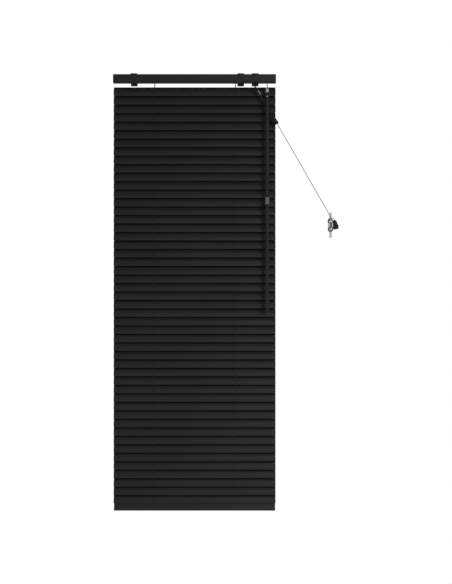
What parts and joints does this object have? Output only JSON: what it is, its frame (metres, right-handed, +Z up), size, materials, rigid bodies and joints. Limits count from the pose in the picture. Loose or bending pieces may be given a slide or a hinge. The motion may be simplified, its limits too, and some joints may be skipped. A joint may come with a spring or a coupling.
{
  "type": "venetian blind",
  "caption": "Slatted window blind with headrail, tilting curved slats, tilt wand, pull cord and wall cleat.",
  "frame": {"origin": "on the ceiling plane that the brackets' top plates meet, midway between the outer brackets' screw holes and above the slats' turning axes", "axes": "+X along the slats to the right seen from the room, +Y towards the wall or window, +Z up"},
  "size_m": [0.5713, 0.0435, 1.1064],
  "materials": {
    "headrail": "semi-gloss black stove enamel",
    "slats": "satin black stove enamel on aluminium strip",
    "bottom_rail": "satin black stove enamel",
    "fittings": "moulded black plastic",
    "fixings": "black enamel brackets; the cleat is pale clouded plastic",
    "tilt_rod": "zinc-plated steel with white nylon drums",
    "worm_shaft": "blackened steel",
    "wand": "black acrylic rod with a clear sleeve and a grey connector",
    "ladder": "braided black polyester string",
    "cord": "braided black polyester cord",
    "cord_ends": "moulded black plastic; the stop is clear"
  },
  "bodies": {
    "frame": {"headrail": "headrail", "rail_fittings": "fittings", "wall_fixings": "fixings", "lift_cord": "cord", "cord_ends": "cord_ends"},
    "tilt_rod": {"tilt_rod": "tilt_rod"},
    "ladder_front": {"ladder_front": "ladder"},
    "ladder_back": {"ladder_back": "ladder"},
    "worm_shaft": {"worm_shaft": "worm_shaft"},
    "wand": {"wand": "wand"},
    "bottom_rail": {"bottom_rail": "bottom_rail"},
    "slat_01": {"slat_01": "slats"},
    "slat_02": {"slat_02": "slats"},
    "slat_03": {"slat_03": "slats"},
    "slat_04": {"slat_04": "slats"},
    "slat_05": {"slat_05": "slats"},
    "slat_06": {"slat_06": "slats"},
    "slat_07": {"slat_07": "slats"},
    "slat_08": {"slat_08": "slats"},
    "slat_09": {"slat_09": "slats"},
    "slat_10": {"slat_10": "slats"},
    "slat_11": {"slat_11": "slats"},
    "slat_12": {"slat_12": "slats"},
    "slat_13": {"slat_13": "slats"},
    "slat_14": {"slat_14": "slats"},
    "slat_15": {"slat_15": "slats"},
    "slat_16": {"slat_16": "slats"},
    "slat_17": {"slat_17": "slats"},
    "slat_18": {"slat_18": "slats"},
    "slat_19": {"slat_19": "slats"},
    "slat_20": {"slat_20": "slats"},
    "slat_21": {"slat_21": "slats"},
    "slat_22": {"slat_22": "slats"},
    "slat_23": {"slat_23": "slats"},
    "slat_24": {"slat_24": "slats"},
    "slat_25": {"slat_25": "slats"},
    "slat_26": {"slat_26": "slats"},
    "slat_27": {"slat_27": "slats"},
    "slat_28": {"slat_28": "slats"},
    "slat_29": {"slat_29": "slats"},
    "slat_30": {"slat_30": "slats"},
    "slat_31": {"slat_31": "slats"},
    "slat_32": {"slat_32": "slats"},
    "slat_33": {"slat_33": "slats"},
    "slat_34": {"slat_34": "slats"},
    "slat_35": {"slat_35": "slats"},
    "slat_36": {"slat_36": "slats"},
    "slat_37": {"slat_37": "slats"},
    "slat_38": {"slat_38": "slats"},
    "slat_39": {"slat_39": "slats"},
    "slat_40": {"slat_40": "slats"},
    "slat_41": {"slat_41": "slats"},
    "slat_42": {"slat_42": "slats"},
    "slat_43": {"slat_43": "slats"},
    "slat_44": {"slat_44": "slats"},
    "slat_45": {"slat_45": "slats"},
    "slat_46": {"slat_46": "slats"},
    "slat_47": {"slat_47": "slats"},
    "slat_48": {"slat_48": "slats"},
    "slat_49": {"slat_49": "slats"}
  },
  "joints": [
    {"name": "tilt", "type": "hinge", "parent": "frame", "child": "tilt_rod", "pos_m": [0, 0, -0.0115], "axis": [-1, 0, 0], "range_deg": [0, 132]},
    {"name": "slat_01_tilt", "type": "hinge", "parent": "frame", "child": "slat_01", "pos_m": [0, 0, -0.0443], "axis": [-1, 0, 0], "range_deg": [0, 132]},
    {"name": "slat_02_tilt", "type": "hinge", "parent": "frame", "child": "slat_02", "pos_m": [0, 0, -0.0658], "axis": [-1, 0, 0], "range_deg": [0, 132]},
    {"name": "slat_03_tilt", "type": "hinge", "parent": "frame", "child": "slat_03", "pos_m": [0, 0, -0.0873], "axis": [-1, 0, 0], "range_deg": [0, 132]},
    {"name": "slat_04_tilt", "type": "hinge", "parent": "frame", "child": "slat_04", "pos_m": [0, 0, -0.1088], "axis": [-1, 0, 0], "range_deg": [0, 132]},
    {"name": "slat_05_tilt", "type": "hinge", "parent": "frame", "child": "slat_05", "pos_m": [0, 0, -0.1303], "axis": [-1, 0, 0], "range_deg": [0, 132]},
    {"name": "slat_06_tilt", "type": "hinge", "parent": "frame", "child": "slat_06", "pos_m": [0, 0, -0.1518], "axis": [-1, 0, 0], "range_deg": [0, 132]},
    {"name": "slat_07_tilt", "type": "hinge", "parent": "frame", "child": "slat_07", "pos_m": [0, 0, -0.1733], "axis": [-1, 0, 0], "range_deg": [0, 132]},
    {"name": "slat_08_tilt", "type": "hinge", "parent": "frame", "child": "slat_08", "pos_m": [0, 0, -0.1948], "axis": [-1, 0, 0], "range_deg": [0, 132]},
    {"name": "slat_09_tilt", "type": "hinge", "parent": "frame", "child": "slat_09", "pos_m": [0, 0, -0.2163], "axis": [-1, 0, 0], "range_deg": [0, 132]},
    {"name": "slat_10_tilt", "type": "hinge", "parent": "frame", "child": "slat_10", "pos_m": [0, 0, -0.2378], "axis": [-1, 0, 0], "range_deg": [0, 132]},
    {"name": "slat_11_tilt", "type": "hinge", "parent": "frame", "child": "slat_11", "pos_m": [0, 0, -0.2593], "axis": [-1, 0, 0], "range_deg": [0, 132]},
    {"name": "slat_12_tilt", "type": "hinge", "parent": "frame", "child": "slat_12", "pos_m": [0, 0, -0.2808], "axis": [-1, 0, 0], "range_deg": [0, 132]},
    {"name": "slat_13_tilt", "type": "hinge", "parent": "frame", "child": "slat_13", "pos_m": [0, 0, -0.3023], "axis": [-1, 0, 0], "range_deg": [0, 132]},
    {"name": "slat_14_tilt", "type": "hinge", "parent": "frame", "child": "slat_14", "pos_m": [0, 0, -0.3238], "axis": [-1, 0, 0], "range_deg": [0, 132]},
    {"name": "slat_15_tilt", "type": "hinge", "parent": "frame", "child": "slat_15", "pos_m": [0, 0, -0.3453], "axis": [-1, 0, 0], "range_deg": [0, 132]},
    {"name": "slat_16_tilt", "type": "hinge", "parent": "frame", "child": "slat_16", "pos_m": [0, 0, -0.3668], "axis": [-1, 0, 0], "range_deg": [0, 132]},
    {"name": "slat_17_tilt", "type": "hinge", "parent": "frame", "child": "slat_17", "pos_m": [0, 0, -0.3883], "axis": [-1, 0, 0], "range_deg": [0, 132]},
    {"name": "slat_18_tilt", "type": "hinge", "parent": "frame", "child": "slat_18", "pos_m": [0, 0, -0.4098], "axis": [-1, 0, 0], "range_deg": [0, 132]},
    {"name": "slat_19_tilt", "type": "hinge", "parent": "frame", "child": "slat_19", "pos_m": [0, 0, -0.4313], "axis": [-1, 0, 0], "range_deg": [0, 132]},
    {"name": "slat_20_tilt", "type": "hinge", "parent": "frame", "child": "slat_20", "pos_m": [0, 0, -0.4528], "axis": [-1, 0, 0], "range_deg": [0, 132]},
    {"name": "slat_21_tilt", "type": "hinge", "parent": "frame", "child": "slat_21", "pos_m": [0, 0, -0.4743], "axis": [-1, 0, 0], "range_deg": [0, 132]},
    {"name": "slat_22_tilt", "type": "hinge", "parent": "frame", "child": "slat_22", "pos_m": [0, 0, -0.4958], "axis": [-1, 0, 0], "range_deg": [0, 132]},
    {"name": "slat_23_tilt", "type": "hinge", "parent": "frame", "child": "slat_23", "pos_m": [0, 0, -0.5173], "axis": [-1, 0, 0], "range_deg": [0, 132]},
    {"name": "slat_24_tilt", "type": "hinge", "parent": "frame", "child": "slat_24", "pos_m": [0, 0, -0.5388], "axis": [-1, 0, 0], "range_deg": [0, 132]},
    {"name": "slat_25_tilt", "type": "hinge", "parent": "frame", "child": "slat_25", "pos_m": [0, 0, -0.5603], "axis": [-1, 0, 0], "range_deg": [0, 132]},
    {"name": "slat_26_tilt", "type": "hinge", "parent": "frame", "child": "slat_26", "pos_m": [0, 0, -0.5818], "axis": [-1, 0, 0], "range_deg": [0, 132]},
    {"name": "slat_27_tilt", "type": "hinge", "parent": "frame", "child": "slat_27", "pos_m": [0, 0, -0.6033], "axis": [-1, 0, 0], "range_deg": [0, 132]},
    {"name": "slat_28_tilt", "type": "hinge", "parent": "frame", "child": "slat_28", "pos_m": [0, 0, -0.6248], "axis": [-1, 0, 0], "range_deg": [0, 132]},
    {"name": "slat_29_tilt", "type": "hinge", "parent": "frame", "child": "slat_29", "pos_m": [0, 0, -0.6463], "axis": [-1, 0, 0], "range_deg": [0, 132]},
    {"name": "slat_30_tilt", "type": "hinge", "parent": "frame", "child": "slat_30", "pos_m": [0, 0, -0.6678], "axis": [-1, 0, 0], "range_deg": [0, 132]},
    {"name": "slat_31_tilt", "type": "hinge", "parent": "frame", "child": "slat_31", "pos_m": [0, 0, -0.6893], "axis": [-1, 0, 0], "range_deg": [0, 132]},
    {"name": "slat_32_tilt", "type": "hinge", "parent": "frame", "child": "slat_32", "pos_m": [0, 0, -0.7108], "axis": [-1, 0, 0], "range_deg": [0, 132]},
    {"name": "slat_33_tilt", "type": "hinge", "parent": "frame", "child": "slat_33", "pos_m": [0, 0, -0.7323], "axis": [-1, 0, 0], "range_deg": [0, 132]},
    {"name": "slat_34_tilt", "type": "hinge", "parent": "frame", "child": "slat_34", "pos_m": [0, 0, -0.7538], "axis": [-1, 0, 0], "range_deg": [0, 132]},
    {"name": "slat_35_tilt", "type": "hinge", "parent": "frame", "child": "slat_35", "pos_m": [0, 0, -0.7753], "axis": [-1, 0, 0], "range_deg": [0, 132]},
    {"name": "slat_36_tilt", "type": "hinge", "parent": "frame", "child": "slat_36", "pos_m": [0, 0, -0.7968], "axis": [-1, 0, 0], "range_deg": [0, 132]},
    {"name": "slat_37_tilt", "type": "hinge", "parent": "frame", "child": "slat_37", "pos_m": [0, 0, -0.8183], "axis": [-1, 0, 0], "range_deg": [0, 132]},
    {"name": "slat_38_tilt", "type": "hinge", "parent": "frame", "child": "slat_38", "pos_m": [0, 0, -0.8398], "axis": [-1, 0, 0], "range_deg": [0, 132]},
    {"name": "slat_39_tilt", "type": "hinge", "parent": "frame", "child": "slat_39", "pos_m": [0, 0, -0.8613], "axis": [-1, 0, 0], "range_deg": [0, 132]},
    {"name": "slat_40_tilt", "type": "hinge", "parent": "frame", "child": "slat_40", "pos_m": [0, 0, -0.8828], "axis": [-1, 0, 0], "range_deg": [0, 132]},
    {"name": "slat_41_tilt", "type": "hinge", "parent": "frame", "child": "slat_41", "pos_m": [0, 0, -0.9043], "axis": [-1, 0, 0], "range_deg": [0, 132]},
    {"name": "slat_42_tilt", "type": "hinge", "parent": "frame", "child": "slat_42", "pos_m": [0, 0, -0.9258], "axis": [-1, 0, 0], "range_deg": [0, 132]},
    {"name": "slat_43_tilt", "type": "hinge", "parent": "frame", "child": "slat_43", "pos_m": [0, 0, -0.9473], "axis": [-1, 0, 0], "range_deg": [0, 132]},
    {"name": "slat_44_tilt", "type": "hinge", "parent": "frame", "child": "slat_44", "pos_m": [0, 0, -0.9688], "axis": [-1, 0, 0], "range_deg": [0, 132]},
    {"name": "slat_45_tilt", "type": "hinge", "parent": "frame", "child": "slat_45", "pos_m": [0, 0, -0.9903], "axis": [-1, 0, 0], "range_deg": [0, 132]},
    {"name": "slat_46_tilt", "type": "hinge", "parent": "frame", "child": "slat_46", "pos_m": [0, 0, -1.0118], "axis": [-1, 0, 0], "range_deg": [0, 132]},
    {"name": "slat_47_tilt", "type": "hinge", "parent": "frame", "child": "slat_47", "pos_m": [0, 0, -1.0333], "axis": [-1, 0, 0], "range_deg": [0, 132]},
    {"name": "slat_48_tilt", "type": "hinge", "parent": "frame", "child": "slat_48", "pos_m": [0, 0, -1.0548], "axis": [-1, 0, 0], "range_deg": [0, 132]},
    {"name": "slat_49_tilt", "type": "hinge", "parent": "frame", "child": "slat_49", "pos_m": [0, 0, -1.0763], "axis": [-1, 0, 0], "range_deg": [0, 132]},
    {"name": "bottom_rail_tilt", "type": "hinge", "parent": "frame", "child": "bottom_rail", "pos_m": [0, 0, -1.0943], "axis": [-1, 0, 0], "range_deg": [0, 132]},
    {"name": "ladder_front_swing", "type": "hinge", "parent": "tilt_rod", "child": "ladder_front", "pos_m": [0, -0.00428, -0.02481], "axis": [-1, 0, 0], "range_deg": [-132, 0]},
    {"name": "ladder_back_swing", "type": "hinge", "parent": "tilt_rod", "child": "ladder_back", "pos_m": [0, 0.00702, 0.00059], "axis": [-1, 0, 0], "range_deg": [-132, 0]},
    {"name": "worm_turn", "type": "hinge", "parent": "frame", "child": "worm_shaft", "pos_m": [0.1833, 0.00325, -0.01713], "axis": [0, -0.866, -0.5], "range_deg": [0, 1584]},
    {"name": "wand_turn", "type": "hinge", "parent": "frame", "child": "wand", "pos_m": [0.1833, -0.023, -0.05], "axis": [0, 0, -1], "range_deg": [0, 1584]}
  ],
  "couplings": [
    {"joint": "slat_01_tilt", "follows": "tilt", "ratio": 1},
    {"joint": "slat_02_tilt", "follows": "tilt", "ratio": 1},
    {"joint": "slat_03_tilt", "follows": "tilt", "ratio": 1},
    {"joint": "slat_04_tilt", "follows": "tilt", "ratio": 1},
    {"joint": "slat_05_tilt", "follows": "tilt", "ratio": 1},
    {"joint": "slat_06_tilt", "follows": "tilt", "ratio": 1},
    {"joint": "slat_07_tilt", "follows": "tilt", "ratio": 1},
    {"joint": "slat_08_tilt", "follows": "tilt", "ratio": 1},
    {"joint": "slat_09_tilt", "follows": "tilt", "ratio": 1},
    {"joint": "slat_10_tilt", "follows": "tilt", "ratio": 1},
    {"joint": "slat_11_tilt", "follows": "tilt", "ratio": 1},
    {"joint": "slat_12_tilt", "follows": "tilt", "ratio": 1},
    {"joint": "slat_13_tilt", "follows": "tilt", "ratio": 1},
    {"joint": "slat_14_tilt", "follows": "tilt", "ratio": 1},
    {"joint": "slat_15_tilt", "follows": "tilt", "ratio": 1},
    {"joint": "slat_16_tilt", "follows": "tilt", "ratio": 1},
    {"joint": "slat_17_tilt", "follows": "tilt", "ratio": 1},
    {"joint": "slat_18_tilt", "follows": "tilt", "ratio": 1},
    {"joint": "slat_19_tilt", "follows": "tilt", "ratio": 1},
    {"joint": "slat_20_tilt", "follows": "tilt", "ratio": 1},
    {"joint": "slat_21_tilt", "follows": "tilt", "ratio": 1},
    {"joint": "slat_22_tilt", "follows": "tilt", "ratio": 1},
    {"joint": "slat_23_tilt", "follows": "tilt", "ratio": 1},
    {"joint": "slat_24_tilt", "follows": "tilt", "ratio": 1},
    {"joint": "slat_25_tilt", "follows": "tilt", "ratio": 1},
    {"joint": "slat_26_tilt", "follows": "tilt", "ratio": 1},
    {"joint": "slat_27_tilt", "follows": "tilt", "ratio": 1},
    {"joint": "slat_28_tilt", "follows": "tilt", "ratio": 1},
    {"joint": "slat_29_tilt", "follows": "tilt", "ratio": 1},
    {"joint": "slat_30_tilt", "follows": "tilt", "ratio": 1},
    {"joint": "slat_31_tilt", "follows": "tilt", "ratio": 1},
    {"joint": "slat_32_tilt", "follows": "tilt", "ratio": 1},
    {"joint": "slat_33_tilt", "follows": "tilt", "ratio": 1},
    {"joint": "slat_34_tilt", "follows": "tilt", "ratio": 1},
    {"joint": "slat_35_tilt", "follows": "tilt", "ratio": 1},
    {"joint": "slat_36_tilt", "follows": "tilt", "ratio": 1},
    {"joint": "slat_37_tilt", "follows": "tilt", "ratio": 1},
    {"joint": "slat_38_tilt", "follows": "tilt", "ratio": 1},
    {"joint": "slat_39_tilt", "follows": "tilt", "ratio": 1},
    {"joint": "slat_40_tilt", "follows": "tilt", "ratio": 1},
    {"joint": "slat_41_tilt", "follows": "tilt", "ratio": 1},
    {"joint": "slat_42_tilt", "follows": "tilt", "ratio": 1},
    {"joint": "slat_43_tilt", "follows": "tilt", "ratio": 1},
    {"joint": "slat_44_tilt", "follows": "tilt", "ratio": 1},
    {"joint": "slat_45_tilt", "follows": "tilt", "ratio": 1},
    {"joint": "slat_46_tilt", "follows": "tilt", "ratio": 1},
    {"joint": "slat_47_tilt", "follows": "tilt", "ratio": 1},
    {"joint": "slat_48_tilt", "follows": "tilt", "ratio": 1},
    {"joint": "slat_49_tilt", "follows": "tilt", "ratio": 1},
    {"joint": "bottom_rail_tilt", "follows": "tilt", "ratio": 1},
    {"joint": "ladder_front_swing", "follows": "tilt", "ratio": -1},
    {"joint": "ladder_back_swing", "follows": "tilt", "ratio": -1},
    {"joint": "worm_turn", "follows": "tilt", "ratio": 12},
    {"joint": "wand_turn", "follows": "tilt", "ratio": 12}
  ]
}
